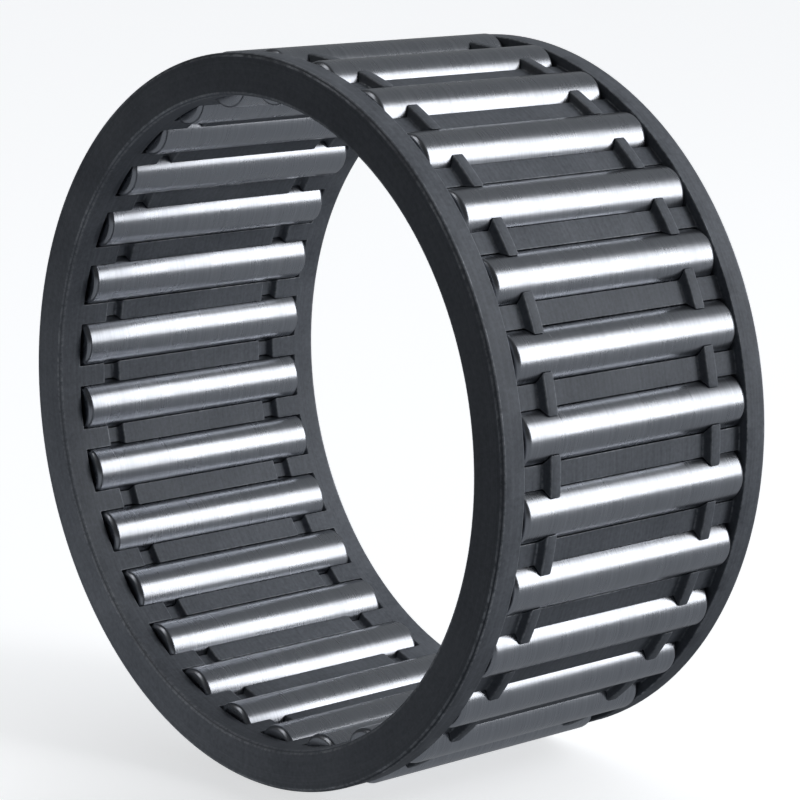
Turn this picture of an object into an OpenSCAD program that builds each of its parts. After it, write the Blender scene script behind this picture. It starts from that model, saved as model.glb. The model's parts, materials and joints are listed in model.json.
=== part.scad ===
// Needle roller and cage assembly: one steel cage that carries a single row of needle rollers.
// The rollers run straight on a shaft inside and on a housing bore outside, so there are no rings.
// The bearing axis is Y, Z is up, and the origin is the middle of the bearing.

/* [Envelope] */
// Diameter of the shaft that the rollers run on
shaft_d = 45; // [44.8:0.1:45.2]
// Diameter of the housing bore that the rollers run in
housing_d = 53; // [52.8:0.1:53.2]
// Width of the cage along the bearing axis
cage_w = 25; // [24.6:0.1:28]

/* [Rollers] */
// Number of rollers, evenly spaced round the cage
roller_count = 30; // [24:1:30]
// Length of a roller over its rounded ends
roller_l = 20.8; // [19.8:0.1:20.8]
// Radius of the rounding at a roller's ends
roller_end_r = 0.35; // [0.2:0.05:0.6]
// Angle of the first roller, from +X towards +Z
first_angle = 6; // [0:1:12]

/* [Cage rims] */
// Radial gap between the rims and the housing bore
housing_gap = 0.2; // [0.1:0.05:0.3]
// Radial gap between the cage's bore and the shaft
shaft_gap = 0.8; // [0.6:0.1:1]
// Chamfer on the round edges of the end faces
rim_chamfer = 0.2; // [0.1:0.05:0.3]

/* [Cage bars] */
// How far the bars reach outside the circle of roller centres
bar_rise = 1.05; // [0.9:0.05:1.2]

/* [Retaining lugs] */
// Axial distance from the middle of the cage to the middle of a lug
lug_at = 7.6; // [7:0.1:8]
// Width of a lug's flat top
lug_w = 0.9; // [0.7:0.1:1.1]
// Run of the slope on each side of a lug
lug_slope = 0.25; // [0.15:0.05:0.4]
// How far a lug stays below the rims' outer surface
lug_below_rim = 0.15; // [0.1:0.05:0.3]
// Depth of the pressed recess in the cage's bore behind a lug
recess_depth = 0.5; // [0.3:0.1:0.6]

/* [Pockets] */
// Radial running clearance round a roller
pocket_clearance = 0.05; // [0.03:0.01:0.08]
// Clearance past each end of a roller
end_clearance = 0.15; // [0.1:0.05:0.3]

/* [Hidden] */
roller_r = (housing_d - shaft_d) / 4;
pitch_r = (housing_d + shaft_d) / 4;
rim_outer_r = housing_d / 2 - housing_gap;
bore_r = shaft_d / 2 + shaft_gap;
bar_outer_r = pitch_r + bar_rise;
lug_outer_r = rim_outer_r - lug_below_rim;
recess_r = bore_r + recess_depth;
half_w = cage_w / 2;
// The rims fill the width that the pockets leave
rim_face = roller_l / 2 + end_clearance;
lug_top_half = lug_w / 2;
lug_foot_half = lug_top_half + lug_slope;
pitch_angle = 360 / roller_count;

// Numbers of the rollers, and the name of each one's node
rollers = [1 : roller_count];
function roller_name(i) = str("roller_", i < 10 ? "0" : "", i);

// One end's outer outline as [radius, distance from the middle], from the middle to the end face
outer_half = [
    [bar_outer_r, lug_at - lug_foot_half],
    [lug_outer_r, lug_at - lug_top_half],
    [lug_outer_r, lug_at + lug_top_half],
    [bar_outer_r, lug_at + lug_foot_half],
    [bar_outer_r, rim_face],
    [rim_outer_r, rim_face],
    [rim_outer_r, half_w - rim_chamfer],
    [rim_outer_r - rim_chamfer, half_w]
];

// The same end's inner outline, from the end face back to the middle
inner_half = [
    [bore_r + rim_chamfer, half_w],
    [bore_r, half_w - rim_chamfer],
    [bore_r, lug_at + lug_foot_half],
    [recess_r, lug_at + lug_top_half],
    [recess_r, lug_at - lug_top_half],
    [bore_r, lug_at - lug_foot_half]
];

// An outline seen from the other end: mirrored, and walked the other way
function mirrored(points) = [for (i = [len(points) - 1 : -1 : 0]) [points[i][0], -points[i][1]]];

// Turns a shape made about Z to lie about the bearing axis
module along_axis() {
    rotate([-90, 0, 0]) children();
}

// Puts a shape at the centre of roller i
module at_roller(i) {
    angle = first_angle + pitch_angle * (i - 1);
    translate([pitch_r * cos(angle), 0, pitch_r * sin(angle)]) along_axis() children();
}

// A round bar about Z with a rounded edge at both ends
module rounded_bar(r, length, end_r) {
    flat_l = length - 2 * end_r;
    rotate_extrude($fn = 48) {
        translate([0, -length / 2]) square([r - end_r, length]);
        translate([0, -flat_l / 2]) square([r, flat_l]);
        for (side = [-1, 1]) translate([r - end_r, side * flat_l / 2]) circle(end_r, $fn = 32);
    }
}

// The ring of the cage before its pockets are cut: rims, bars and lugs in one turned section
module cage_blank() {
    section = concat(outer_half, inner_half, mirrored(inner_half), mirrored(outer_half));
    along_axis() rotate_extrude($fn = 180) polygon(section);
}

module cage() {
    color("dimgray") difference() {
        cage_blank();
        for (i = rollers) at_roller(i)
            cylinder(h = 2 * rim_face, r = roller_r + pocket_clearance, center = true, $fn = 48);
    }
}

module roller(i) {
    color("silver") at_roller(i) rounded_bar(roller_r, roller_l, roller_end_r);
}

cage();
for (i = rollers) roller(i);
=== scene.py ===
import json
import math
import bpy
import bmesh
from mathutils import Matrix, Vector


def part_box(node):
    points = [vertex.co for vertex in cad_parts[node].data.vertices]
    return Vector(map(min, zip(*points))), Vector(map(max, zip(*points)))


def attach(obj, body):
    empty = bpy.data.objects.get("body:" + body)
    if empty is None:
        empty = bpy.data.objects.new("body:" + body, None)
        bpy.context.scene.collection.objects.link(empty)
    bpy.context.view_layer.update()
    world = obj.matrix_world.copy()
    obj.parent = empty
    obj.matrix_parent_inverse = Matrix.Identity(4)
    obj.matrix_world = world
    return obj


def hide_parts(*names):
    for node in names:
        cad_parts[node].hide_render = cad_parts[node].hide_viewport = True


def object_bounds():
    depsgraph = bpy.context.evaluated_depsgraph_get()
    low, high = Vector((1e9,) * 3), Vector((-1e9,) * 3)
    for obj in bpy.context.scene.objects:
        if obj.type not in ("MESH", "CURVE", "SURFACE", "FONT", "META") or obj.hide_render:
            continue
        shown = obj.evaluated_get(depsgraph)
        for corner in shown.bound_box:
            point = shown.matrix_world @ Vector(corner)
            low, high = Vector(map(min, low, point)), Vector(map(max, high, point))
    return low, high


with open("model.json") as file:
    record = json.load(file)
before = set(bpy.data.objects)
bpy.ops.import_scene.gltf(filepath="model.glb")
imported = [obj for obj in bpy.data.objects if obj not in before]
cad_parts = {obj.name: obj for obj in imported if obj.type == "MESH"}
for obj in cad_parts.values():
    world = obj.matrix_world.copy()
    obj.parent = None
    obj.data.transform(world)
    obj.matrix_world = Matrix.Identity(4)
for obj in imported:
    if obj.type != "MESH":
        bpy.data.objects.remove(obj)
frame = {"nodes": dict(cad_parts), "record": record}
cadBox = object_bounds()
mm = 0.001
flatHold = 60  # how strongly the large faces keep their shading flat, from 1 to 100


# Helpers

def srgb(code):
    # "#rrggbb" to the linear colour that shaders work in
    parts = [int(code[i:i + 2], 16) / 255 for i in (1, 3, 5)]
    linear = [c / 12.92 if c <= 0.04045 else ((c + 0.055) / 1.055) ** 2.4 for c in parts]
    return (*linear, 1)


def addNode(tree, kind, settings=None, inputs=None):
    # settings are the node's own properties; an input is a value, or a socket to link from
    node = tree.nodes.new(kind)
    for name, value in (settings or {}).items():
        setattr(node, name, value)
    for name, value in (inputs or {}).items():
        socket = node.inputs[name]
        if isinstance(value, bpy.types.NodeSocket):
            tree.links.new(value, socket)
        else:
            socket.default_value = value
    return node


def newMaterial(name):
    material = bpy.data.materials.new(name)
    material.use_nodes = True
    tree = material.node_tree
    tree.nodes.clear()
    return material, tree


def finishPiece(name, bm, material, body, nodeNames):
    # from millimetres to metres, then onto its body in place of the CAD node
    bmesh.ops.scale(bm, vec=(mm, mm, mm), verts=bm.verts)
    mesh = bpy.data.meshes.new(name)
    bm.to_mesh(mesh)
    bm.free()
    mesh.shade_smooth()
    mesh.materials.append(material)
    piece = bpy.data.objects.new(name, mesh)
    bpy.context.scene.collection.objects.link(piece)
    weighted = piece.modifiers.new("flatFacesStayFlat", "WEIGHTED_NORMAL")
    weighted.mode = "FACE_AREA"
    weighted.weight = flatHold
    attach(piece, body)
    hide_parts(*nodeNames)
    return piece


# Where things are, from the frame: the cage is one node, and each needle's place is its node's box
bodies = frame["record"]["behaviour"]["bodies"]
bodyOf = {node: body for body, nodes in bodies.items() for node in nodes}
rollerNodes = sorted(name for name in frame["nodes"] if name.startswith("roller_"))


def middleOf(node):
    low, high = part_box(node)
    return (low + high) / 2 / mm


# boxes come from triangles, so what is read from them is rounded to the hundredth of a millimetre
firstPlace = middleOf(rollerNodes[0])
pitchRadius = round(math.hypot(firstPlace.x, firstPlace.z), 2)
firstAngle = math.radians(round(math.degrees(math.atan2(firstPlace.z, firstPlace.x))))
rollerLow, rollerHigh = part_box(rollerNodes[0])
needleLength = round((rollerHigh.y - rollerLow.y) / mm, 2)
needleRadius = round((rollerHigh.z - rollerLow.z) / mm / 2, 2)
cageLow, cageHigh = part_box("cage")
rimRadius = round(cageHigh.x / mm, 2)
halfWidth = round(cageHigh.y / mm, 2)
needleCount = len(rollerNodes)
halfPitch = math.pi / needleCount
print("frame: pitch radius", pitchRadius, "needle", needleRadius, needleLength, "rim", rimRadius,
      "half width", halfWidth, "first angle", math.degrees(firstAngle))


# Cage

cageSize = {  # millimetres
    "bore": 23.3,  # radius of the cage's bore
    "barTop": 25.55,  # radius of the bars' outer surface
    "chamfer": 0.2,
    "lugAt": 7.6,  # from the middle to a retaining lug
    "lugFlat": 0.9,
    "lugSlope": 0.25,
    "lugTop": 26.15,  # radius of a lug's top
    "recess": 23.8,  # radius of the pressed recess behind a lug
    "pocketClearance": 0.05,
    "endClearance": 0.15,  # past a needle's end, to the end of its pocket and the inner face of the rim
    "edge": 0.1,  # tumbled edge
    "edgeSteps": 2,
    "topSteps": 3,
    "flankSteps": 8,
    "wallSteps": 3,
    "sharpFrom": 25,  # degrees between two faces from which their edge is tumbled
    "slack": 0.0005,  # points nearer than this to a radius or the middle plane lie on it
    "onEndPlane": 0.001,  # the same, for the plane of the pockets' ends
    "flankRise": 0.01,  # a flank's edges change radius by more than this, and the skins' don't
    "weld": 0.002,
}


def polar(angle, radius, y):
    return Vector((radius * math.cos(angle), y, radius * math.sin(angle)))


def angleOf(co):
    return math.atan2(co.z, co.x)


def radiusOf(co):
    return math.hypot(co.x, co.z)


def flankPoint(turn, pocketRadius):
    # angle from the bar's middle and radius of a point of the pocket's wall, which lies at turn round the
    # pocket from straight outwards
    out = pitchRadius + pocketRadius * math.cos(turn)
    across = pocketRadius * math.sin(turn)
    return halfPitch - math.atan2(across, out), math.hypot(out, across)


def flankTurn(radius, pocketRadius):
    # the turn round the pocket at which its wall meets a radius of the cage
    gap = radius ** 2 - pitchRadius ** 2 - pocketRadius ** 2
    return math.acos(gap / (2 * pitchRadius * pocketRadius))


def moved(bm, edges, radius, y):
    # one step of the rim: the chain of edges is extruded to another radius and distance from the middle
    geom = bmesh.ops.extrude_edge_only(bm, edges=edges)["geom"]
    verts = [g for g in geom if isinstance(g, bmesh.types.BMVert)]
    factor = radius / radiusOf(verts[0].co)
    bmesh.ops.scale(bm, vec=(factor, 1, factor), verts=verts)
    bmesh.ops.translate(bm, vec=(0, y - verts[0].co.y, 0), verts=verts)
    new = set(verts)
    return [g for g in geom if isinstance(g, bmesh.types.BMEdge) and set(g.verts) <= new]


def makeCage():
    c = cageSize
    pocketRadius = needleRadius + c["pocketClearance"]
    pocketEnd = needleLength / 2 + c["endClearance"]
    flat, foot = c["lugFlat"] / 2, c["lugFlat"] / 2 + c["lugSlope"]
    halfway = (flat + foot) / 2  # a station here keeps the pocket's wall round beside a lug's slope
    # stations along half a bar: distance from the middle, outer radius, inner radius
    stations = []
    at = c["lugAt"]
    for y, rise in ((0, 0), (at - foot, 0), (at - halfway, 0.5), (at - flat, 1),
                    (at + flat, 1), (at + halfway, 0.5), (at + foot, 0), (pocketEnd, 0)):
        stations.append((y, c["barTop"] + (c["lugTop"] - c["barTop"]) * rise,
                         c["bore"] + (c["recess"] - c["bore"]) * rise))
    columns = 2 * c["topSteps"] + c["flankSteps"]
    bm = bmesh.new()
    # a flat grid is wrapped round half of a bar: over its top, down the pocket's wall and back under it
    bmesh.ops.create_grid(bm, x_segments=columns, y_segments=len(stations) - 1, size=1)
    for vert in bm.verts:
        column = round((vert.co.x + 1) / 2 * columns)
        y, outer, inner = stations[round((vert.co.y + 1) / 2 * (len(stations) - 1))]
        topTurn, bottomTurn = flankTurn(outer, pocketRadius), flankTurn(inner, pocketRadius)
        if column <= c["topSteps"]:
            share = column / c["topSteps"]
            vert.co = polar(flankPoint(topTurn, pocketRadius)[0] * share, outer, y)
        elif column < columns - c["topSteps"]:
            share = (column - c["topSteps"]) / c["flankSteps"]
            angle, radius = flankPoint(topTurn + (bottomTurn - topTurn) * share, pocketRadius)
            vert.co = polar(angle, radius, y)
        else:
            share = (columns - column) / c["topSteps"]
            vert.co = polar(flankPoint(bottomTurn, pocketRadius)[0] * share, inner, y)

    def onEnd(edge, low, high):
        return all(abs(v.co.y - pocketEnd) < c["onEndPlane"] and low <= radiusOf(v.co) <= high
                   for v in edge.verts)

    # the pocket's end wall: its flank is extruded towards the middle of the pocket
    slack = c["slack"]
    chain = [e for e in bm.edges if onEnd(e, c["bore"] - slack, c["barTop"] + slack)
             and abs(radiusOf(e.verts[0].co) - radiusOf(e.verts[1].co)) > c["flankRise"]]
    for step in range(c["wallSteps"]):
        geom = bmesh.ops.extrude_edge_only(bm, edges=chain)["geom"]
        verts = [g for g in geom if isinstance(g, bmesh.types.BMVert)]
        for vert in verts:
            rest = halfPitch - angleOf(vert.co)
            angle = angleOf(vert.co) + rest / (c["wallSteps"] - step)
            vert.co = polar(angle, radiusOf(vert.co), pocketEnd)
        new = set(verts)
        chain = [g for g in geom if isinstance(g, bmesh.types.BMEdge) and set(g.verts) <= new]
    outerChain = [e for e in bm.edges if onEnd(e, c["barTop"] - slack, c["barTop"] + slack)]
    innerChain = [e for e in bm.edges if onEnd(e, c["bore"] - slack, c["bore"] + slack)]
    # the rim's two skins, then its end face between them
    for radius, y in ((rimRadius, pocketEnd), (rimRadius, halfWidth - c["chamfer"]),
                      (rimRadius - c["chamfer"], halfWidth)):
        outerChain = moved(bm, outerChain, radius, y)
    for radius, y in ((c["bore"], halfWidth - c["chamfer"]), (c["bore"] + c["chamfer"], halfWidth)):
        innerChain = moved(bm, innerChain, radius, y)
    bmesh.ops.bridge_loops(bm, edges=outerChain + innerChain)
    # the other half of the bar, the other end, and a full round of bars
    for axis in ("Z", "Y"):
        bmesh.ops.mirror(bm, geom=bm.verts[:] + bm.edges[:] + bm.faces[:], axis=axis, merge_dist=slack)
    toFirstBar = Matrix.Rotation(-firstAngle - halfPitch, 3, "Y")
    bmesh.ops.rotate(bm, cent=(0, 0, 0), matrix=toFirstBar, verts=bm.verts)
    bmesh.ops.spin(bm, geom=bm.verts[:] + bm.edges[:] + bm.faces[:], axis=(0, 1, 0), cent=(0, 0, 0),
                   angle=2 * halfPitch * (needleCount - 1), steps=needleCount - 1, use_duplicate=True)
    bmesh.ops.remove_doubles(bm, verts=bm.verts, dist=c["weld"])
    bmesh.ops.recalc_face_normals(bm, faces=bm.faces)
    # tumbled edges, marked so that the finish can wear through on them
    worn = bm.faces.layers.float.new("wear")
    sharp = [e for e in bm.edges if len(e.link_faces) == 2
             and e.calc_face_angle() > math.radians(c["sharpFrom"])]
    bevelled = bmesh.ops.bevel(bm, geom=sharp, offset=c["edge"], offset_type="OFFSET", affect="EDGES",
                               segments=c["edgeSteps"], profile=0.5, material=-1, clamp_overlap=True)
    for face in bevelled["faces"]:
        face[worn] = 1
    return bm


# Needles

needleSize = {  # millimetres
    "rounding": 0.35,  # radius of the rounded edge
    "dome": 0.04,  # how far the end face falls from its middle to the rounding
    "roundingSteps": 4,
    "domeSteps": 3,
    "around": 48,
    "weld": 0.001,
}


def makeNeedle(place):
    n = needleSize
    bm = bmesh.new()
    end = needleLength / 2
    flatRadius = needleRadius - n["rounding"]
    # half of the outline: the shallow dome, then the rounding, then the straight side
    outline = []
    for step in range(n["domeSteps"] + 1):
        share = step / n["domeSteps"]
        outline.append((flatRadius * share, end - n["dome"] * share ** 2))
    for step in range(1, n["roundingSteps"] + 1):
        turn = math.pi / 2 * (1 - step / n["roundingSteps"])
        outline.append((flatRadius + n["rounding"] * math.cos(turn),
                        end - n["dome"] - n["rounding"] * (1 - math.sin(turn))))
    whole = outline + [(radius, -y) for radius, y in reversed(outline)]
    verts = [bm.verts.new((radius, y, 0)) for radius, y in whole]
    edges = [bm.edges.new(pair) for pair in zip(verts, verts[1:])]
    bmesh.ops.spin(bm, geom=verts + edges, axis=(0, 1, 0), cent=(0, 0, 0), angle=2 * math.pi,
                   steps=n["around"], use_merge=True)
    bmesh.ops.remove_doubles(bm, verts=bm.verts, dist=n["weld"])
    bmesh.ops.recalc_face_normals(bm, faces=bm.faces)
    bmesh.ops.translate(bm, vec=place, verts=bm.verts)
    return bm


# Finishes

cageFinish = {
    "coat": "#565b63",
    "coatLight": "#82878f",
    "bare": "#a7abb1",
    "wornMetallic": 0.7,
    "specular": 0.3,  # the coat is porous and drinks up the oil's shine
    "roughness": (0.5, 0.72),
    "crystal": 0.3,  # millimetres across a patch of crystals; the real ones are too fine to show
    "cloud": 6,  # millimetres across the drifts in the coat
    "turning": 0.22,  # millimetres between turning marks; the real ones are half as far apart
    "relief": 0.012,  # millimetres
    "reliefStrength": 0.6,
    "ringRelief": 0.6,  # how high the rings stand beside the crystals
    "crystalTone": 0.45,  # how far each pattern moves the coat from dark to light
    "cloudTone": 0.35,
    "ringTone": 0.2,
    "mottle": 0.2,  # half the stretch of a noise, round its middle, that a pattern is drawn from
    "wearMottle": 0.12,
    "wearCrystal": 0.15,  # the wear that is left where the crystals hold, and where a drift is thick
    "wearCloud": 0.35,
    "wornSmooth": -0.2,  # what rubbing bare adds to the roughness
}

needleFinish = {
    "steel": "#b0b3b9",
    "steelDark": "#9b9ea4",
    "roughness": (0.25, 0.31),
    "film": 2.5,  # millimetres across a patch of the oil film
    "lines": 0.12,  # millimetres between the grinding lines; the real ones are too fine to show
    "relief": 0.002,  # millimetres
    "reliefStrength": 0.02,
    "round": 60,  # times per metre that the noise changes round the needle, so few that it shows as lines
    "lineRoughness": 0.008,
    "mottle": 0.2,  # half the stretch of a noise, round its middle, that a pattern is drawn from
}


def phosphatedSteel():
    # Turned steel with a manganese phosphate coat: dark slate with a crystalline mottle and soft drifts,
    # faint rings from the lathe under it, and grey steel where tumbling has rubbed the edges bare
    f = cageFinish
    material, tree = newMaterial("phosphatedSteel")
    coords = addNode(tree, "ShaderNodeTexCoord").outputs["Object"]
    crystals = addNode(tree, "ShaderNodeTexNoise", {}, {
        "Vector": coords, "Scale": 1 / (f["crystal"] * mm), "Detail": 4, "Roughness": 0.6}).outputs["Fac"]
    clouds = addNode(tree, "ShaderNodeTexNoise", {}, {
        "Vector": coords, "Scale": 1 / (f["cloud"] * mm), "Detail": 3, "Roughness": 0.55}).outputs["Fac"]
    # the lathe's rings lie at one radius and one distance along the axis, on the faces and the skins alike
    fromAxis = addNode(tree, "ShaderNodeVectorMath", {"operation": "MULTIPLY"}, {0: coords, 1: (1, 0, 1)})
    radius = addNode(tree, "ShaderNodeVectorMath", {"operation": "LENGTH"}, {0: fromAxis.outputs[0]})
    parts = addNode(tree, "ShaderNodeSeparateXYZ", {}, {0: coords})
    section = addNode(tree, "ShaderNodeCombineXYZ", {}, {
        "X": radius.outputs["Value"], "Y": parts.outputs["Y"]})
    rings = addNode(tree, "ShaderNodeTexNoise", {"noise_dimensions": "2D"}, {
        "Vector": section.outputs[0], "Scale": 1 / (f["turning"] * mm), "Detail": 2}).outputs["Fac"]

    # noise clusters round its middle, so the stretch of it there is what each pattern is drawn from
    low, high = f["roughness"]
    drawn = {}
    for name, source, least, most, reach in (
            ("crystalTone", crystals, 0, f["crystalTone"], f["mottle"]),
            ("cloudTone", clouds, 0, f["cloudTone"], f["mottle"]),
            ("ringTone", rings, 0, f["ringTone"], f["mottle"]),
            ("crystalWear", crystals, f["wearCrystal"], 1, f["wearMottle"]),
            ("cloudWear", clouds, f["wearCloud"], 1, f["wearMottle"]),
            ("roughness", crystals, low, high, f["mottle"])):
        drawn[name] = addNode(tree, "ShaderNodeMapRange", {"clamp": True}, {
            "Value": source, "From Min": 0.5 - reach, "From Max": 0.5 + reach,
            "To Min": least, "To Max": most}).outputs["Result"]
    mottled = addNode(tree, "ShaderNodeMath", {"operation": "ADD"}, {
        0: drawn["crystalTone"], 1: drawn["cloudTone"]})
    tone = addNode(tree, "ShaderNodeMath", {"operation": "ADD"}, {
        0: mottled.outputs[0], 1: drawn["ringTone"]}).outputs[0]
    coat = addNode(tree, "ShaderNodeMix", {"data_type": "RGBA"}, {
        "Factor": tone, "A": srgb(f["coat"]), "B": srgb(f["coatLight"])})
    # wear on the tumbled edges, broken up by the crystals and heavier in some drifts than in others
    edge = addNode(tree, "ShaderNodeAttribute", {"attribute_name": "wear", "attribute_type": "GEOMETRY"})
    patchy = addNode(tree, "ShaderNodeMath", {"operation": "MULTIPLY"}, {
        0: drawn["crystalWear"], 1: drawn["cloudWear"]})
    worn = addNode(tree, "ShaderNodeMath", {"operation": "MULTIPLY"}, {
        0: edge.outputs["Fac"], 1: patchy.outputs[0]}).outputs[0]
    colour = addNode(tree, "ShaderNodeMix", {"data_type": "RGBA"}, {
        "Factor": worn, "A": coat.outputs["Result"], "B": srgb(f["bare"])})
    roughness = addNode(tree, "ShaderNodeMath", {"operation": "MULTIPLY_ADD"}, {
        0: worn, 1: f["wornSmooth"], 2: drawn["roughness"]})
    metallic = addNode(tree, "ShaderNodeMath", {"operation": "MULTIPLY"}, {0: worn, 1: f["wornMetallic"]})
    height = addNode(tree, "ShaderNodeMath", {"operation": "MULTIPLY_ADD"}, {
        0: rings, 1: f["ringRelief"], 2: crystals})
    bump = addNode(tree, "ShaderNodeBump", {}, {
        "Height": height.outputs[0], "Strength": f["reliefStrength"], "Distance": f["relief"] * mm})
    shader = addNode(tree, "ShaderNodeBsdfPrincipled", {}, {
        "Base Color": colour.outputs["Result"], "Metallic": metallic.outputs[0],
        "Specular IOR Level": f["specular"], "Roughness": roughness.outputs[0],
        "Normal": bump.outputs["Normal"]})
    addNode(tree, "ShaderNodeOutputMaterial", {}, {"Surface": shader.outputs[0]})
    return material


def groundBearingSteel():
    # Hardened chrome steel, centreless ground and lapped: a soft-edged mirror with faint lines round the
    # needle, and a thin film of oil that dulls it in patches
    f = needleFinish
    material, tree = newMaterial("groundBearingSteel")
    coords = addNode(tree, "ShaderNodeTexCoord").outputs["Object"]
    film = addNode(tree, "ShaderNodeTexNoise", {}, {
        "Vector": coords, "Scale": 1 / (f["film"] * mm), "Detail": 2}).outputs["Fac"]
    # the noise is drawn out round the needle, so that it shows as lines
    drawnOut = addNode(tree, "ShaderNodeMapping", {}, {
        "Vector": coords, "Scale": (f["round"], 1 / (f["lines"] * mm), f["round"])})
    lines = addNode(tree, "ShaderNodeTexNoise", {}, {
        "Vector": drawnOut.outputs[0], "Scale": 1, "Detail": 3, "Roughness": 0.7}).outputs["Fac"]
    # noise clusters round its middle, so the stretch of it there is what each pattern is drawn from
    low, high = f["roughness"]
    filmed, lined, shaded = [addNode(tree, "ShaderNodeMapRange", {"clamp": True}, {
        "Value": source, "From Min": 0.5 - f["mottle"], "From Max": 0.5 + f["mottle"],
        "To Min": least, "To Max": most}).outputs["Result"]
        for source, least, most in ((film, low, high), (lines, -f["lineRoughness"], f["lineRoughness"]),
                                    (lines, 0, 1))]
    dulled = addNode(tree, "ShaderNodeMath", {"operation": "ADD"}, {0: filmed, 1: lined})
    tint = addNode(tree, "ShaderNodeMix", {"data_type": "RGBA"}, {
        "Factor": shaded, "A": srgb(f["steelDark"]), "B": srgb(f["steel"])})
    bump = addNode(tree, "ShaderNodeBump", {}, {
        "Height": lines, "Strength": f["reliefStrength"], "Distance": f["relief"] * mm})
    shader = addNode(tree, "ShaderNodeBsdfPrincipled", {}, {
        "Base Color": tint.outputs["Result"], "Metallic": 1.0,
        "Roughness": dulled.outputs[0], "Normal": bump.outputs["Normal"]})
    addNode(tree, "ShaderNodeOutputMaterial", {}, {"Surface": shader.outputs[0]})
    return material


cagePiece = finishPiece("cage_profiled", makeCage(), phosphatedSteel(), bodyOf["cage"], ["cage"])
print("cage:", len(cagePiece.data.polygons), "faces")
needleSteel = groundBearingSteel()
for number, node in enumerate(rollerNodes):
    place = polar(firstAngle + 2 * halfPitch * number, pitchRadius, 0)
    finishPiece(node + "_needle", makeNeedle(place), needleSteel, bodyOf[node], [node])
print("needles:", needleCount)


# Stage: floor, light and camera

stageSetup = {
    "floorColour": "#f0f1f2",
    "floorSize": 6,  # metres
    "floorBounce": "#696b6e",  # what the floor sends back up to the object
    "floorGlow": 0.72,  # keeps the floor pale under a weak light
    "floorMirrored": "#8b8e92",  # what the steel sees of the floor
    "skySeen": 1.0,
    "skyMirrored": 0.22,  # what the steel sees of the room
    "skyMirroredShade": 0.06,
    "skyLight": 0.9,  # the room's own soft light, which comes from the +Y side
    "skyShade": 0.02,
    "skyFrom": -0.05,  # the share of +Y in a direction at which the room's light starts and stops growing
    "skyTo": 0.5,
    "roomTint": (0.95, 0.97, 1, 1),  # linear, slightly blue, as the light and as the steel sees it
    "mirroredTint": (0.92, 0.96, 1, 1),
    "softbox": (0.17, 0.45),  # metres, width and height of the key and of the back one
    "softboxDistance": 0.5,  # metres
    "keyDirection": (0.705, 0.641, 0.303),
    "keyPower": 0.92,  # watts
    "backDirection": (-0.35, -0.64, 0.68),
    "backPower": 0.3,
    "fill": (0.01, 0.01),
    "fillDistance": 0.057,
    "fillDirection": (-0.022, -0.048, -0.021),
    "fillPower": 0.0043,
}

cameraSetup = {
    "azimuth": 48.93,  # degrees, from the -Y side towards +X
    "elevation": 11.13,
    "distance": 0.22883,  # metres
    "lens": 140.56,  # millimetres
    "sensor": 36,  # millimetres
    "nearest": 0.01,  # metres
    "farthest": 50,
    "aimRight": 0.001206,  # metres that the aim lies beside and above the bearing's middle
    "aimUp": 0.000261,
}


def directionOf(azimuth, elevation):
    a, e = math.radians(azimuth), math.radians(elevation)
    return Vector((math.sin(a) * math.cos(e), -math.cos(a) * math.cos(e), math.sin(e)))


def aimAt(thing, target):
    thing.rotation_euler = (target - thing.location).to_track_quat("-Z", "Y").to_euler()


def addSoftbox(name, direction, distance, size, power):
    data = bpy.data.lights.new(name, "AREA")
    data.shape = "RECTANGLE"
    data.size, data.size_y = size
    data.energy = power
    light = bpy.data.objects.new(name, data)
    bpy.context.scene.collection.objects.link(light)
    light.location = Vector(direction).normalized() * distance
    aimAt(light, Vector((0, 0, 0)))
    light.visible_camera = False
    return light


def makeFloor():
    s = stageSetup
    bm = bmesh.new()
    bmesh.ops.create_grid(bm, x_segments=1, y_segments=1, size=s["floorSize"] / 2)
    bmesh.ops.translate(bm, vec=(0, 0, cadBox[0][2]), verts=bm.verts)
    mesh = bpy.data.meshes.new("floor")
    bm.to_mesh(mesh)
    bm.free()
    material, tree = newMaterial("paleFloor")
    path = addNode(tree, "ShaderNodeLightPath")
    pale = addNode(tree, "ShaderNodeBsdfDiffuse", {}, {"Color": srgb(s["floorColour"])})
    glow = addNode(tree, "ShaderNodeEmission", {}, {
        "Color": srgb(s["floorColour"]), "Strength": s["floorGlow"]})
    shown = addNode(tree, "ShaderNodeAddShader", {}, {0: pale.outputs[0], 1: glow.outputs[0]})
    dim = addNode(tree, "ShaderNodeEmission", {}, {"Color": srgb(s["floorMirrored"])})
    bounce = addNode(tree, "ShaderNodeBsdfDiffuse", {}, {"Color": srgb(s["floorBounce"])})
    lit = addNode(tree, "ShaderNodeMixShader", {}, {0: path.outputs["Is Camera Ray"], 1: bounce.outputs[0],
                                                   2: shown.outputs[0]})
    mix = addNode(tree, "ShaderNodeMixShader", {}, {0: path.outputs["Is Glossy Ray"], 1: lit.outputs[0],
                                                   2: dim.outputs[0]})
    addNode(tree, "ShaderNodeOutputMaterial", {}, {"Surface": mix.outputs[0]})
    mesh.materials.append(material)
    floor = bpy.data.objects.new("floor", mesh)
    bpy.context.scene.collection.objects.link(floor)


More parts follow.
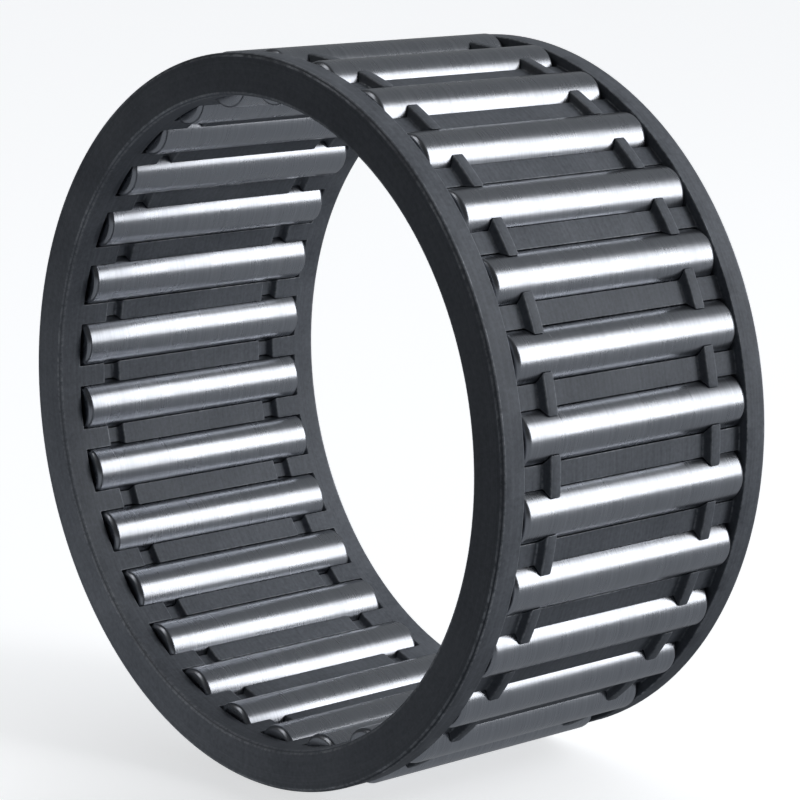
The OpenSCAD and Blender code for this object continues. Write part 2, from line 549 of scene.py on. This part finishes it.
def makeSky():
    s = stageSetup
    world = bpy.data.worlds.new("studio")
    bpy.context.scene.world = world
    world.use_nodes = True
    tree = world.node_tree
    tree.nodes.clear()
    path = addNode(tree, "ShaderNodeLightPath")
    direction = addNode(tree, "ShaderNodeTexCoord").outputs["Generated"]
    parts = addNode(tree, "ShaderNodeSeparateXYZ", {}, {0: direction})
    # both grow from the -Y side of the room to the +Y side
    light, mirrored = [addNode(tree, "ShaderNodeMapRange", {"clamp": True}, {
        "Value": parts.outputs["Y"], "From Min": s["skyFrom"], "From Max": s["skyTo"],
        "To Min": low, "To Max": high}).outputs["Result"]
        for low, high in ((s["skyShade"], s["skyLight"]), (s["skyMirroredShade"], s["skyMirrored"]))]
    room = addNode(tree, "ShaderNodeBackground", {}, {"Color": s["roomTint"], "Strength": light})
    dim = addNode(tree, "ShaderNodeBackground", {}, {
        "Color": s["mirroredTint"], "Strength": mirrored})
    seen = addNode(tree, "ShaderNodeBackground", {}, {"Color": (1, 1, 1, 1), "Strength": s["skySeen"]})
    felt = addNode(tree, "ShaderNodeMixShader", {}, {0: path.outputs["Is Glossy Ray"], 1: room.outputs[0],
                                                    2: dim.outputs[0]})
    mix = addNode(tree, "ShaderNodeMixShader", {}, {0: path.outputs["Is Camera Ray"], 1: felt.outputs[0],
                                                   2: seen.outputs[0]})
    addNode(tree, "ShaderNodeOutputWorld", {}, {"Surface": mix.outputs[0]})


def makeCamera():
    s = cameraSetup
    data = bpy.data.cameras.new("camera")
    data.lens = s["lens"]
    data.sensor_width = s["sensor"]
    data.clip_start, data.clip_end = s["nearest"], s["farthest"]
    camera = bpy.data.objects.new("camera", data)
    bpy.context.scene.collection.objects.link(camera)
    outward = directionOf(s["azimuth"], s["elevation"])
    right = Vector((0, 0, 1)).cross(outward).normalized()
    up = outward.cross(right)
    target = right * s["aimRight"] + up * s["aimUp"]
    camera.location = target + outward * s["distance"]
    aimAt(camera, target)
    bpy.context.scene.camera = camera


makeFloor()
makeSky()
addSoftbox("keySoftbox", stageSetup["keyDirection"], stageSetup["softboxDistance"], stageSetup["softbox"],
           stageSetup["keyPower"])
# the back softbox only shines in the steel, so that the needles gleam from behind too
back = addSoftbox("backSoftbox", stageSetup["backDirection"], stageSetup["softboxDistance"],
                  stageSetup["softbox"], stageSetup["backPower"])
back.visible_diffuse = False
# the fill lifts the end face, and isn't mirrored in the needles' ends
fill = addSoftbox("fillSoftbox", stageSetup["fillDirection"], stageSetup["fillDistance"], stageSetup["fill"],
                  stageSetup["fillPower"])
fill.visible_glossy = False
makeCamera()
bpy.context.scene.view_settings.view_transform = "Standard"
print("stage ready")
